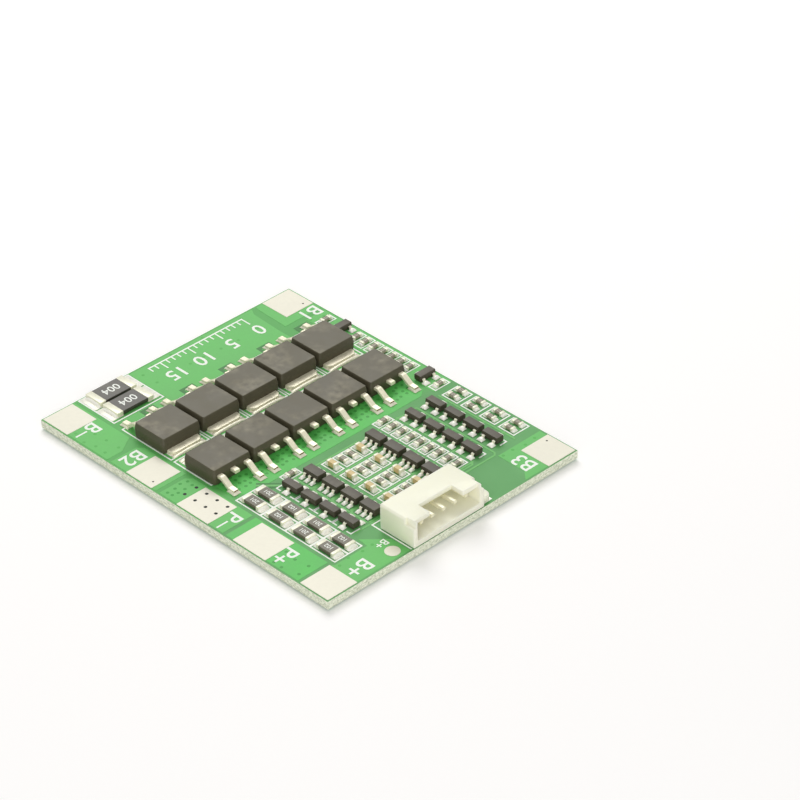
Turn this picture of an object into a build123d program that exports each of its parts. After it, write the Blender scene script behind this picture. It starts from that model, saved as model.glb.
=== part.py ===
"""Battery management board: a green circuit board with ten power transistors, eight cell
monitoring channels, sense resistors, tinned solder pads and a five-way side-entry header.

Millimetres, +Z up. The origin is the centre of the board's underside, +X runs along the long
edge towards the header's mouth, and +Y along the short edge.
"""

from build123d import *
import os

os.makedirs("parts", exist_ok=True)

# Bare board: its length and width follow from what it carries, and come to 56 by 45
board_thickness = 1.2

# Tinned copper pads and the lands that the parts are soldered to
pad_thickness = 0.08
pad_margin = 0.2
pad_depth = 5.05
cell_pad_length = 5.05
power_pad_length = 6.1
pad_clearance = 0.915
middle_pad_shift = -0.15
negative_pad_shift = -0.73
positive_pad_shift = 1.0
round_pad_diameter = 2.1
round_pad_inset = 1.7
round_pad_clearance = 1.15
land_overhang = 0.3

# Plated through holes
via_diameter = 0.5
lone_via_diameter = 0.3
via_pitch = 2.02
via_columns = 4
via_rows = 2
via_grid_shift = (-0.9, 0.7)
lone_via_inset = (0.9, 1.1)

# Power transistors: moulded body, tab plate and leads
power_body_length = 6.1
power_body_width = 6.55
power_body_height = 2.3
power_top_inset = 0.2
power_parting_height = 1.5
power_corner = 0.3
power_gap = 0.48
power_rows = 5
tab_clearance = 1.6
tab_width = 5.3
tab_reach = 1.15
tab_inside = 4.4
tab_thickness = 0.5
power_lead_width = 0.84
power_lead_thickness = 0.5
power_lead_spread = 2.286
power_lead_reach = 3.05
power_lead_bend = 0.6
power_foot_length = 1.05
power_stub_length = 0.9

# Two-terminal chip parts, as length, width and height
shunt_size = (6.4, 3.15, 0.6)
shunt_cap_length = 1.05
shunt_gap = 0.4
shunt_inset = 0.35
shunt_pad_clearance = 2.2
shunt_clearance = 1.8
balance_size = (3.2, 1.6, 0.55)
balance_cap_length = 0.5
balance_spacing = (1.47, 0.8)
balance_shift = 1.25
balance_pad_clearance = 1.25
balance_clearance = 1.15
balance_columns = 4
balance_rows = 2
cap_skin = 0.05
chip_length = 1.6
chip_width = 0.8
chip_end_length = 0.3
resistor_height = 0.45
capacitor_height = 0.8

# Logic columns, one for each monitored cell
logic_clearance = 1.65
column_lead_in = 1.5
column_gap = 0.63
column_count = 4

# Six-lead monitor chips
monitor_length = 2.9
monitor_width = 1.6
monitor_height = 1.1
monitor_pitch = 0.95
monitor_lead_width = 0.4
monitor_row_drops = (17.1, 28.2)

# Three-lead small transistors
small_length = 2.9
small_width = 1.3
small_height = 1.0
small_pitch = 0.95
small_lead_width = 0.45
small_upper_drops = (6.0, 9.9)
small_lower_drop = 32.1
small_edge_clearance = 0.565
small_edge_margin = 0.7
small_edge_shifts = (-6.85, 9.65)

# Thin gull-wing leads of the small packages
thin_lead_thickness = 0.15
thin_lead_reach = 0.6
thin_foot_length = 0.35
thin_lead_exit = 0.4
thin_stand_off = 0.1
package_taper = 0.08

# Small chip parts
bank_drop = 13.4
bank_gap = 0.93
bank_count = 9
edge_row_drop = 2.0
edge_row_gap = 0.95
edge_row_count = 7
edge_row_shift = 1.2
lone_chip_shifts = (-10.2, 12.25)
lone_chip_drop = 30.1
pair_row_drops = (1.2, 2.75)
filter_capacitor_drops = (19.9, 25.0)
filter_resistor_drops = (21.55, 23.1)

# Five-way side-entry header
pin_count = 5
pin_pitch = 2.0
header_end_room = 2.3
header_depth = 6.2
header_height = 3.85
header_shift = -1.2
header_clearance = 1.01
header_wall = 0.7
header_floor = 0.9
header_back_wall = 1.3
header_window_depth = 2.6
header_window_length = 5.9
header_setback = 0.5
header_slot_depth = 0.5
header_step_length = 1.7
header_step_width = 0.5
header_step_height = 0.95
header_edge = 0.25
pin_width = 0.5
pin_setback = 0.9
pin_height = 2.45
tail_foot_length = 0.75
tail_drop = 0.35
tail_thickness = 0.3
pin_point = 0.12
anchor_length = 2.3
anchor_reach = 1.9
anchor_thickness = 0.9
anchor_rounding = 0.4
anchor_setback = 0.5

# Sizes of the blocks that share the board
shunt_length, shunt_width, shunt_height = shunt_size
balance_length, balance_width, balance_height = balance_size
power_pitch = power_body_width + power_gap
power_rows_width = power_rows * power_body_width + (power_rows - 1) * power_gap
power_length = tab_reach + power_body_length + power_lead_reach
shunts_length = 2 * shunt_width + shunt_gap
column_pitch = monitor_length + column_gap
logic_length = column_lead_in + column_count * monitor_length + (column_count - 1) * column_gap
header_length = (pin_count - 1) * pin_pitch + 2 * header_end_room
tail_reach = tail_drop + tail_foot_length
balance_pitch = (balance_length + balance_spacing[0], balance_width + balance_spacing[1])
balance_rows_width = (balance_rows - 1) * balance_pitch[1] + balance_width
power_stack = (pad_clearance + power_rows_width + small_edge_clearance + small_length
               + small_edge_margin)
logic_stack = (balance_pad_clearance + balance_rows_width + balance_clearance
               + thin_lead_reach + small_width / 2 + small_lower_drop)

# The board is as large as its blocks and the clearances between them, across its width by the
# wider of the power rows and the logic rows
board_length = (shunt_inset + shunts_length + shunt_clearance + 2 * power_length + tab_clearance
                + logic_clearance + logic_length + header_clearance + tail_reach + header_depth)
board_width = pad_margin + pad_depth + max(power_stack, logic_stack)
board_top = board_thickness
seat = board_top + pad_thickness
right_edge = board_length / 2
rear_edge = board_width / 2


def finish(builder, label):
    """Label a finished piece and write it."""
    builder.part.label = label
    export_step(builder.part, f"parts/{label}.step")


def upright(x, y, heading_x, heading_y, across):
    """Upright plane at a place on the board: its x follows the heading and its y is up.

    It stands back by half of the width across, so that a profile on it is extruded by the
    whole width.
    """
    start = Vector(x - heading_y * across / 2, y + heading_x * across / 2, seat)
    return Plane(origin=start, x_dir=(heading_x, heading_y, 0), z_dir=(heading_y, -heading_x, 0))


# Lines that the parts are set out from
tab_line = -right_edge + shunt_inset + shunts_length + shunt_clearance + power_length + tab_clearance / 2
logic_left = tab_line + tab_clearance / 2 + power_length + logic_clearance
logic_middle = logic_left + logic_length / 2
pads_top = -rear_edge + pad_margin + pad_depth
power_middle_y = pads_top + pad_clearance + power_rows_width / 2

# Pads along the edges
cell_pad_x = right_edge - pad_margin - cell_pad_length / 2
pad_y = rear_edge - pad_margin - pad_depth / 2
negative_pad_x = tab_line + tab_clearance / 2 + power_length + negative_pad_shift
positive_pad_x = logic_middle + positive_pad_shift
middle_pad_x = tab_line + middle_pad_shift
cell_pads = [(-cell_pad_x, -pad_y), (middle_pad_x, -pad_y), (cell_pad_x, -pad_y),
             (-cell_pad_x, pad_y), (cell_pad_x, pad_y)]
power_pads = [(negative_pad_x, -pad_y), (positive_pad_x, -pad_y)]

# Plated holes: a grid through the negative pad, and one near a corner of three cell pads
vias = [(negative_pad_x + via_grid_shift[0] + (i - (via_columns - 1) / 2) * via_pitch,
         -pad_y + via_grid_shift[1] + (j - (via_rows - 1) / 2) * via_pitch)
        for j in range(via_rows) for i in range(via_columns)]
lone_via_x = cell_pad_length / 2 - lone_via_inset[0]
lone_via_y = pad_depth / 2 - lone_via_inset[1]
lone_vias = [(middle_pad_x + lone_via_x, -pad_y - lone_via_y),
             (-cell_pad_x + lone_via_x, pad_y + lone_via_y),
             (cell_pad_x - lone_via_x, pad_y + lone_via_y)]

# Each power transistor: centre of its body, and the way its leads point along X
power_shift = tab_clearance / 2 + tab_reach + power_body_length / 2
power_places = [(tab_line + heading * power_shift,
                 power_middle_y + (power_rows // 2 - row) * power_pitch, heading)
                for heading in (-1, 1) for row in range(power_rows)]

shunt_first_x = -right_edge + shunt_inset + shunt_width / 2
shunt_y = pads_top + shunt_pad_clearance + shunt_length / 2
shunt_places = [(shunt_first_x + i * (shunt_width + shunt_gap), shunt_y) for i in range(2)]

balance_first_y = pads_top + balance_pad_clearance + balance_width / 2
balance_places = [(logic_middle + balance_shift + (i - (balance_columns - 1) / 2) * balance_pitch[0],
                   balance_first_y + j * balance_pitch[1])
                  for j in reversed(range(balance_rows)) for i in range(balance_columns)]

# Logic rows, by their drop from the rear edge
column_xs = [logic_left + column_lead_in + monitor_length / 2 + i * column_pitch
             for i in range(column_count)]
monitor_places = [(x, rear_edge - drop) for drop in monitor_row_drops for x in column_xs]

# Small transistors: centre and the way that the side with two leads faces
small_edge_y = rear_edge - small_edge_margin - small_length / 2
small_upper = [(x, rear_edge - drop, 0, -1) for drop in small_upper_drops for x in column_xs]
small_lower = [(x, rear_edge - small_lower_drop, 0, 1) for x in column_xs]
small_edge = [(tab_line + shift, small_edge_y, 1, 0) for shift in small_edge_shifts]

# Chip parts by the way that they lie
bank_pitch = chip_width + bank_gap
edge_row_pitch = chip_width + edge_row_gap
chips_across = [(logic_left + chip_width / 2 + i * bank_pitch, rear_edge - bank_drop)
                for i in range(bank_count)]
chips_across += [(tab_line + edge_row_shift + (i - (edge_row_count - 1) / 2) * edge_row_pitch,
                  rear_edge - edge_row_drop) for i in range(edge_row_count)]
chips_across += [(tab_line + shift, rear_edge - edge_row_drop) for shift in lone_chip_shifts]
chips_across += [(logic_left + chip_width / 2, rear_edge - lone_chip_drop)]
chips_along = [(x, rear_edge - drop) for drop in pair_row_drops + filter_resistor_drops
               for x in column_xs]
capacitors_along = [(x, rear_edge - drop) for drop in filter_capacitor_drops for x in column_xs]

# Header: back face, front face and ends
header_front = right_edge
header_back = header_front - header_depth
header_y = header_shift
pin_ys = [header_y + (i - (pin_count - 1) / 2) * pin_pitch for i in range(pin_count)]
anchor_x = header_front - anchor_setback - anchor_length / 2
round_pad = (right_edge - round_pad_inset,
             header_y - header_length / 2 - round_pad_clearance - round_pad_diameter / 2)


def rectangles(places, length, width, level):
    """Sketch of equal rectangles, given their centres and their level."""
    with BuildSketch(Plane.XY.offset(level)) as outlines:
        with Locations(*places):
            Rectangle(length, width)
    return outlines.sketch


def via_circles():
    """Plated holes, cut from the open sketch."""
    with Locations(*vias):
        Circle(via_diameter / 2, mode=Mode.SUBTRACT)
    with Locations(*lone_vias):
        Circle(lone_via_diameter / 2, mode=Mode.SUBTRACT)


def build_board():
    """Bare board with its plated through holes."""
    with BuildPart() as circuit_board:
        with BuildSketch():
            Rectangle(board_length, board_width)
            via_circles()
        extrude(amount=board_thickness)
    finish(circuit_board, "circuit_board")


def build_terminal_pads():
    """Tinned pads along the edges, and the round pad, with the holes that pass through them."""
    with BuildPart() as terminal_pads:
        with BuildSketch(Plane.XY.offset(board_top)):
            with Locations(*cell_pads):
                Rectangle(cell_pad_length, pad_depth)
            with Locations(*power_pads):
                Rectangle(power_pad_length, pad_depth)
            with Locations(round_pad):
                Circle(round_pad_diameter / 2)
            via_circles()
        extrude(amount=pad_thickness)
    finish(terminal_pads, "terminal_pads")


def two_end_lands(places, length, end_length, width, along_x):
    """Lands under both ends of two-terminal parts, inside the open sketch."""
    land = end_length + land_overhang
    shift = (length - end_length + land_overhang) / 2
    for x, y in places:
        ends = [(x + side * shift, y) if along_x else (x, y + side * shift) for side in (-1, 1)]
        with Locations(*ends):
            Rectangle(land if along_x else width, width if along_x else land)


def lead_ends(x, y, heading_x, heading_y, offsets, distance):
    """Points at a distance ahead of a centre, one for each offset to the heading's side."""
    return [(x + heading_x * distance - heading_y * offset,
             y + heading_y * distance + heading_x * offset) for offset in offsets]


def build_solder_lands():
    """Thin solder-covered copper lands that carry every soldered part."""
    with BuildPart() as solder_lands:
        with BuildSketch(Plane.XY.offset(board_top)):
            for x, y, heading in power_places:
                tab_middle = power_body_length / 2 + tab_reach / 2 - tab_inside / 2
                with Locations((x - heading * (tab_middle + land_overhang / 2), y)):
                    Rectangle(tab_inside + tab_reach + land_overhang, tab_width + land_overhang)
                foot = power_body_length / 2 + power_lead_reach - power_foot_length / 2
                spread = (-power_lead_spread, power_lead_spread)
                with Locations(*lead_ends(x, y, heading, 0, spread, foot)):
                    Rectangle(power_foot_length + land_overhang, power_lead_width + land_overhang)
            two_end_lands(shunt_places, shunt_length, shunt_cap_length, shunt_width, False)
            two_end_lands(balance_places, balance_length, balance_cap_length, balance_width, True)
            two_end_lands(chips_across, chip_length, chip_end_length, chip_width, False)
            two_end_lands(chips_along + capacitors_along, chip_length, chip_end_length,
                          chip_width, True)
            thin_foot = thin_foot_length + land_overhang
            foot = monitor_width / 2 + thin_lead_reach - thin_foot_length / 2
            spread = (-monitor_pitch, 0, monitor_pitch)
            for x, y in monitor_places:
                for side in (-1, 1):
                    with Locations(*lead_ends(x, y, 0, side, spread, foot)):
                        Rectangle(monitor_lead_width, thin_foot)
            foot = small_width / 2 + thin_lead_reach - thin_foot_length / 2
            for x, y, heading_x, heading_y in small_upper + small_lower + small_edge:
                ends = lead_ends(x, y, heading_x, heading_y, (-small_pitch, small_pitch), foot)
                ends += lead_ends(x, y, -heading_x, -heading_y, (0,), foot)
                with Locations(*ends):
                    if heading_x:
                        Rectangle(thin_foot, small_lead_width + land_overhang / 2)
                    else:
                        Rectangle(small_lead_width + land_overhang / 2, thin_foot)
            with Locations(*[(header_back - tail_reach / 2, y) for y in pin_ys]):
                Rectangle(tail_reach, pin_width + land_overhang)
            with Locations((anchor_x, header_y + (header_length + anchor_reach) / 2)):
                Rectangle(anchor_length, anchor_reach)
        extrude(amount=pad_thickness)
    finish(solder_lands, "solder_lands")


def build_power_transistor(number, x, y, heading):
    """One power transistor: the moulded body, and the tab plate with its leads."""
    back = -power_body_length / 2
    with BuildPart() as body:
        base = Plane(origin=(x, y, seat), x_dir=(heading, 0, 0), z_dir=(0, 0, 1))
        with BuildSketch(base):
            Rectangle(power_body_length, power_body_width)
            chamfer(vertices(), power_corner)
        extrude(amount=power_parting_height)
        with BuildSketch(base.offset(power_parting_height)):
            Rectangle(power_body_length, power_body_width)
            chamfer(vertices(), power_corner)
        with BuildSketch(base.offset(power_body_height)):
            Rectangle(power_body_length - power_top_inset, power_body_width - 2 * power_top_inset)
            chamfer(vertices(), power_corner)
        loft()
        with BuildSketch(base):
            with Locations((back + tab_inside / 2, 0)):
                Rectangle(tab_inside, tab_width)
        extrude(amount=tab_thickness, mode=Mode.SUBTRACT)
    finish(body, f"power_transistor_body_{number:02d}")

    with BuildPart() as leads:
        with BuildSketch(base):
            with Locations((back + (tab_inside - tab_reach) / 2, 0)):
                Rectangle(tab_inside + tab_reach, tab_width)
        extrude(amount=tab_thickness)
        start = power_body_length / 2
        exit_top = power_parting_height
        exit_low = exit_top - power_lead_thickness
        foot_start = start + power_lead_reach - power_foot_length
        end = start + power_lead_reach
        half = power_lead_thickness / 2
        for offset in (-power_lead_spread, power_lead_spread):
            with BuildSketch(upright(x, y + heading * offset, heading, 0, power_lead_width)):
                with BuildLine():
                    FilletPolyline((start, exit_low + half), (start + power_lead_bend, exit_low + half),
                                   (foot_start, half), (end, half), radius=power_lead_bend)
                trace(line_width=power_lead_thickness)
            extrude(amount=power_lead_width)
        with BuildSketch(base.offset(exit_low)):
            with Locations((start + power_stub_length / 2, 0)):
                Rectangle(power_stub_length, power_lead_width)
        extrude(amount=power_lead_thickness)
    finish(leads, f"power_transistor_leads_{number:02d}")


def build_power_transistors():
    """Both rows of power transistors."""
    for number, (x, y, heading) in enumerate(power_places, start=1):
        build_power_transistor(number, x, y, heading)


def chip_body(place, size, along_x):
    """Ceramic body of a chip part with end caps, inside the open part: it fills the caps."""
    length, width, height = size
    length -= 2 * cap_skin
    size_x, size_y = (length, width) if along_x else (width, length)
    extrude(rectangles([place], size_x, size_y, seat + cap_skin), amount=height - 2 * cap_skin)


def cap_profile(x, y, heading_x, heading_y, size, cap_length):
    """Section of a plated cap that wraps the end of a chip part on the side of the heading."""
    length, width, height = size
    inner = length / 2 - cap_length
    skin = length / 2 - cap_skin
    with BuildSketch(upright(x, y, heading_x, heading_y, width)) as profile:
        with BuildLine():
            Polyline((inner, 0), (length / 2, 0), (length / 2, height), (inner, height),
                     (inner, height - cap_skin), (skin, height - cap_skin), (skin, cap_skin),
                     (inner, cap_skin), close=True)
        make_face()
    return profile.sketch


def end_caps(places, size, cap_length, along_x):
    """Plated caps on both ends of chip parts, inside the open part."""
    for x, y in places:
        for side in (-1, 1):
            heading_x, heading_y = (side, 0) if along_x else (0, side)
            profile = cap_profile(x, y, heading_x, heading_y, size, cap_length)
            extrude(profile, amount=size[1])


def build_shunts():
    """Two sense resistors side by side, each with its two caps."""
    for number, place in enumerate(shunt_places, start=1):
        with BuildPart() as shunt:
            chip_body(place, shunt_size, False)
        finish(shunt, f"shunt_resistor_{number}")
    with BuildPart() as shunt_terminals:
        end_caps(shunt_places, shunt_size, shunt_cap_length, False)
    finish(shunt_terminals, "shunt_terminals")


def build_balance_resistors():
    """Two rows of balancing resistors, and their caps."""
    for number, place in enumerate(balance_places, start=1):
        with BuildPart() as resistor:
            chip_body(place, balance_size, True)
        finish(resistor, f"balance_resistor_{number}")
    with BuildPart() as balance_resistor_terminals:
        end_caps(balance_places, balance_size, balance_cap_length, True)
    finish(balance_resistor_terminals, "balance_resistor_terminals")


def package(x, y, length, width, height, along_x):
    """Moulded package inside the open part: straight up to the leads, tapered above them."""
    parting = thin_lead_exit * height + thin_lead_thickness
    size_x, size_y = (length, width) if along_x else (width, length)
    taper = 2 * package_taper
    low = rectangles([(x, y)], size_x, size_y, seat + thin_stand_off)
    extrude(low, amount=parting - thin_stand_off)
    loft([rectangles([(x, y)], size_x, size_y, seat + parting).face(),
          rectangles([(x, y)], size_x - taper, size_y - taper, seat + height).face()])


def thin_lead(x, y, heading_x, heading_y, width, package_width, package_height):
    """Gull-wing lead of a small package, inside the open part."""
    exit_low = thin_lead_exit * package_height
    start = package_width / 2
    end = start + thin_lead_reach
    heel = end - thin_foot_length
    thickness = thin_lead_thickness
    with BuildSketch(upright(x, y, heading_x, heading_y, width)) as profile:
        with BuildLine():
            Polyline((start, exit_low), (heel - thickness, exit_low), (heel, 0), (end, 0),
                     (end, thickness), (heel + thickness, thickness),
                     (heel, exit_low + thickness), (start, exit_low + thickness), close=True)
        make_face()
    extrude(profile.sketch, amount=width)


def build_monitor_chips():
    """Two rows of six-lead monitor chips, and their leads."""
    for number, (x, y) in enumerate(monitor_places, start=1):
        with BuildPart() as chip:
            package(x, y, monitor_length, monitor_width, monitor_height, True)
        finish(chip, f"monitor_chip_{number}")
    with BuildPart() as monitor_chip_leads:
        for x, y in monitor_places:
            for side in (-1, 1):
                for lead_x in (x - monitor_pitch, x, x + monitor_pitch):
                    thin_lead(lead_x, y, 0, side, monitor_lead_width, monitor_width,
                              monitor_height)
    finish(monitor_chip_leads, "monitor_chip_leads")


def build_small_transistors(name, places):
    """One group of three-lead small transistors, and their leads."""
    with BuildPart() as bodies:
        for x, y, heading_x, _ in places:
            package(x, y, small_length, small_width, small_height, not heading_x)
    finish(bodies, f"small_transistors_{name}")
    with BuildPart() as leads:
        for x, y, heading_x, heading_y in places:
            for lead_x, lead_y in lead_ends(x, y, heading_x, heading_y,
                                            (-small_pitch, small_pitch), 0):
                thin_lead(lead_x, lead_y, heading_x, heading_y, small_lead_width, small_width,
                          small_height)
            thin_lead(x, y, -heading_x, -heading_y, small_lead_width, small_width, small_height)
    finish(leads, f"small_transistor_leads_{name}")


def ends_of(places, distance, along_x):
    """Points at a distance to both sides of each centre, along X or along Y."""
    return [(x + side * distance, y) if along_x else (x, y + side * distance)
            for x, y in places for side in (-1, 1)]


def build_small_chips():
    """Chip resistors and capacitors: bodies between plated end blocks."""
    middle = chip_length - 2 * chip_end_length
    end_shift = (chip_length - chip_end_length) / 2
    body_level = seat + cap_skin
    with BuildPart() as chip_resistors:
        extrude(rectangles(chips_across, chip_width, middle, body_level),
                amount=resistor_height - 2 * cap_skin)
        extrude(rectangles(chips_along, middle, chip_width, body_level),
                amount=resistor_height - 2 * cap_skin)
    finish(chip_resistors, "chip_resistors")
    with BuildPart() as chip_resistor_ends:
        extrude(rectangles(ends_of(chips_across, end_shift, False), chip_width, chip_end_length, seat),
                amount=resistor_height)
        extrude(rectangles(ends_of(chips_along, end_shift, True), chip_end_length, chip_width, seat),
                amount=resistor_height)
    finish(chip_resistor_ends, "chip_resistor_ends")
    with BuildPart() as chip_capacitors:
        extrude(rectangles(capacitors_along, middle, chip_width, body_level),
                amount=capacitor_height - 2 * cap_skin)
    finish(chip_capacitors, "chip_capacitors")
    with BuildPart() as chip_capacitor_ends:
        extrude(rectangles(ends_of(capacitors_along, end_shift, True), chip_end_length, chip_width, seat),
                amount=capacitor_height)
    finish(chip_capacitor_ends, "chip_capacitor_ends")


def build_header():
    """Side-entry header: hollow housing with a window in its roof, pins, and solder anchor."""
    inside_depth = header_depth - header_back_wall
    inside_length = header_length - 2 * header_wall
    inside_height = header_height - header_floor - header_wall
    mouth_x = header_front - inside_depth / 2
    with BuildPart() as connector_housing:
        with BuildSketch(Plane.XY.offset(seat)):
            with Locations((header_front - header_depth / 2, header_y)):
                Rectangle(header_depth, header_length)
        extrude(amount=header_height)
        rims = connector_housing.edges().filter_by(Axis.X).group_by(Axis.Z)[-1]
        chamfer(rims, header_edge)
        with BuildSketch(Plane.XY.offset(seat + header_floor)):
            with Locations((mouth_x, header_y)):
                Rectangle(inside_depth, inside_length)
        extrude(amount=inside_height, mode=Mode.SUBTRACT)
        with BuildSketch(Plane.XY.offset(seat + header_height - header_wall)):
            with Locations((header_front - header_window_depth / 2, header_y)):
                Rectangle(header_window_depth, header_window_length)
            with Locations((header_front - header_setback / 2, header_y)):
                Rectangle(header_setback, inside_length)
        extrude(amount=header_wall, mode=Mode.SUBTRACT)
        with BuildSketch(Plane.XY.offset(seat)):
            with Locations((anchor_x, header_y + (header_length - header_slot_depth) / 2)):
                Rectangle(anchor_length, header_slot_depth)
        extrude(amount=anchor_thickness, mode=Mode.SUBTRACT)
        with BuildSketch(Plane.XY.offset(seat + header_height - header_step_height)):
            for side in (-1, 1):
                end_y = header_y + side * (header_length - header_step_width) / 2
                with Locations((header_front - header_step_length / 2, end_y)):
                    Rectangle(header_step_length, header_step_width)
        extrude(amount=header_step_height, mode=Mode.SUBTRACT)
        with BuildSketch(Plane.XY.offset(seat + pin_height - pin_width / 2)):
            with Locations(*[(header_back + header_back_wall / 2, y) for y in pin_ys]):
                Rectangle(header_back_wall, pin_width)
        extrude(amount=pin_width, mode=Mode.SUBTRACT)
    finish(connector_housing, "connector_housing")

    with BuildPart() as connector_pins:
        low = pin_height - pin_width / 2
        high = pin_height + pin_width / 2
        tip = header_depth - pin_setback
        for y in pin_ys:
            with BuildSketch(upright(header_back, y, 1, 0, pin_width)):
                with BuildLine():
                    Polyline((tip - pin_point, low), (tip, low + pin_point),
                             (tip, high - pin_point), (tip - pin_point, high),
                             (-tail_drop, high), (-tail_drop, tail_thickness),
                             (-tail_reach, tail_thickness), (-tail_reach, 0),
                             (-tail_drop + tail_thickness, 0), (-tail_drop + tail_thickness, low),
                             close=True)
                make_face()
        extrude(amount=pin_width)
    finish(connector_pins, "connector_pins")

    with BuildPart() as connector_anchor:
        reach = header_slot_depth + anchor_reach
        inner_y = header_y + header_length / 2 - header_slot_depth
        with BuildSketch(Plane.XY.offset(seat)):
            with Locations((anchor_x, inner_y + reach / 2)):
                Rectangle(anchor_length, reach)
            fillet(vertices().sort_by(Axis.Y)[-2:], anchor_length * anchor_rounding)
        extrude(amount=anchor_thickness)
    finish(connector_anchor, "connector_anchor")


build_board()
build_terminal_pads()
build_solder_lands()
build_power_transistors()
build_shunts()
build_balance_resistors()
build_monitor_chips()
build_small_transistors("upper", small_upper)
build_small_transistors("lower", small_lower)
build_small_transistors("edge", small_edge)
build_small_chips()
build_header()
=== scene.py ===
"""Looks of a green battery management board, dressed around its solid model.

Shapes are worked out in millimetres, in the model's own frame, and turned into metres where a
mesh is made. +X runs along the long edge towards the header, and +Z is up.
"""

import logging
import math
from collections.abc import Sequence
from dataclasses import dataclass
from enum import Enum
from functools import cache

import bmesh
import bpy
import numpy as np
from bpy.types import (ID, Material, Mesh, Node, NodeOutputs, NodeSocket, NodeTree, Object,
                       bpy_prop_collection)
from mathutils import Matrix, Vector


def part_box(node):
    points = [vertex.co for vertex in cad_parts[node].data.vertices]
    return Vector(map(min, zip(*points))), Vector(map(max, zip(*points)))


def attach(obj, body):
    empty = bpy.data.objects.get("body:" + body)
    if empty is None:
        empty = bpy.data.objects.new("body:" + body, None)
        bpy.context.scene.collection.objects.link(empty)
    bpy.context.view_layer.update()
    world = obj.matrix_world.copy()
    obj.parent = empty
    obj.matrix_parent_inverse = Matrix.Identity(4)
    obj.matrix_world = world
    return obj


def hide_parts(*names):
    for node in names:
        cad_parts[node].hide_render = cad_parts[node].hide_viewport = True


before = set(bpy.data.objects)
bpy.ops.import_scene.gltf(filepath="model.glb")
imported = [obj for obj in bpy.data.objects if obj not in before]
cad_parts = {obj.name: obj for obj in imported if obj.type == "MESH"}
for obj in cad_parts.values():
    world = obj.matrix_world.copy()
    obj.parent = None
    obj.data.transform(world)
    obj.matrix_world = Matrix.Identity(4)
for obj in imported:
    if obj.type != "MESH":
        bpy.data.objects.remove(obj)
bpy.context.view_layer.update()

LOG = logging.getLogger("board")
METRE = 1000.0
ROOT = "root"
# Height of a capital letter as a share of the font's size.
CAP_SHARE = 0.7

Point = tuple[float, float]
Place = tuple[float, float, float]


@dataclass
class Shape:
    """Points in millimetres, and faces as arrays of corner numbers, one array per corner count."""

    points: np.ndarray
    faces: list[np.ndarray]

    def moved(self, x: float = 0.0, y: float = 0.0, z: float = 0.0, turn: float = 0.0) -> "Shape":
        """Copy turned about Z by an angle in radians, then moved."""
        return self.copies(np.array([[x, y]]), z, np.array([turn]))

    def copies(self, spots: np.ndarray, level: float, turns: np.ndarray) -> "Shape":
        """Copies of the shape, each turned about Z and moved.

        Args:
            spots: one row of X and Y for each copy.
            level: how far all of them are raised.
            turns: angle of each copy in radians.

        Returns:
            All the copies as one shape.
        """
        cos, sin = np.cos(turns)[:, None], np.sin(turns)[:, None]
        x, y, z = self.points.T
        height = np.broadcast_to(z, (len(turns), len(z)))
        turned = np.stack([x * cos - y * sin, x * sin + y * cos, height], 2)
        places = np.column_stack([spots, np.full(len(spots), level)])
        shift = (np.arange(len(turns)) * len(self.points))[:, None, None]
        faces = [(f[None] + shift).reshape(-1, f.shape[1]) for f in self.faces]
        return Shape((turned + places[:, None, :]).reshape(-1, 3), faces)


def joined(shapes: Sequence[Shape]) -> Shape:
    """Several shapes as one."""
    starts = np.cumsum([0] + [len(s.points) for s in shapes[:-1]])
    faces = [f + start for s, start in zip(shapes, starts) for f in s.faces]
    return Shape(np.concatenate([s.points for s in shapes]), faces)


def outline(length: float, width: float, radius: float, steps: int = 3) -> np.ndarray:
    """Rounded rectangle about the origin: a quarter circle of points round each corner's centre."""
    angles = np.radians(np.arange(4)[:, None] * 90 + np.linspace(0, 90, steps + 1)[None, :])
    signs = np.array([[1, 1], [-1, 1], [-1, -1], [1, -1]])
    centres = signs * [length / 2 - radius, width / 2 - radius]
    points = centres[:, None, :] + radius * np.stack([np.cos(angles), np.sin(angles)], 2)
    return points.reshape(-1, 2)


def ring_faces(levels: int, around: int, closed: bool = False) -> np.ndarray:
    """Quads between rings of points that are stored one after another."""
    rows = np.arange(levels if closed else levels - 1)[:, None]
    here = np.arange(around)[None, :]
    ahead = (here + 1) % around
    below, above = rows * around, (rows + 1) % levels * around
    return np.stack([below + here, below + ahead, above + ahead, above + here], 2).reshape(-1, 4)


def lofted(outlines: Sequence[np.ndarray], levels: Sequence[float]) -> Shape:
    """Closed body through outlines of one point count, one at each level, capped at both ends."""
    rings = [np.column_stack([o, np.full(len(o), z)]) for o, z in zip(outlines, levels)]
    count, around = len(rings), len(rings[0])
    caps = np.array([np.arange(around)[::-1], (count - 1) * around + np.arange(around)])
    return Shape(np.concatenate(rings), [ring_faces(count, around), caps])


def moulded(length: float, width: float, radius: float, steps: Sequence[Point],
            corner: int = 2) -> Shape:
    """Body with a rounded plan whose sides step in: one inset and height for each level."""
    outlines = [outline(length - 2 * inset, width - 2 * inset, max(radius - inset, 0.01), corner)
                for inset, _ in steps]
    return lofted(outlines, [level for _, level in steps])


def plate(corners: Sequence[Point], low: float, high: float) -> Shape:
    """Flat plate of any plan, given counter-clockwise."""
    plan = np.array(corners, float)
    return lofted([plan, plan], [low, high])


def box(x0: float, x1: float, y0: float, y1: float, low: float, high: float) -> Shape:
    """Upright box between two corners."""
    return plate([(x0, y0), (x1, y0), (x1, y1), (x0, y1)], low, high)


def bar(start: Point, end: Point, width: float, low: float, high: float) -> Shape:
    """Straight flat bar, half its width longer at each end than the run between two points."""
    along = np.subtract(end, start)
    half = (float(np.hypot(*along)) + width) / 2
    x, y = np.add(start, end) / 2
    flat = box(-half, half, -width / 2, width / 2, low, high)
    return flat.moved(x, y, 0, math.atan2(along[1], along[0]))


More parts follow.
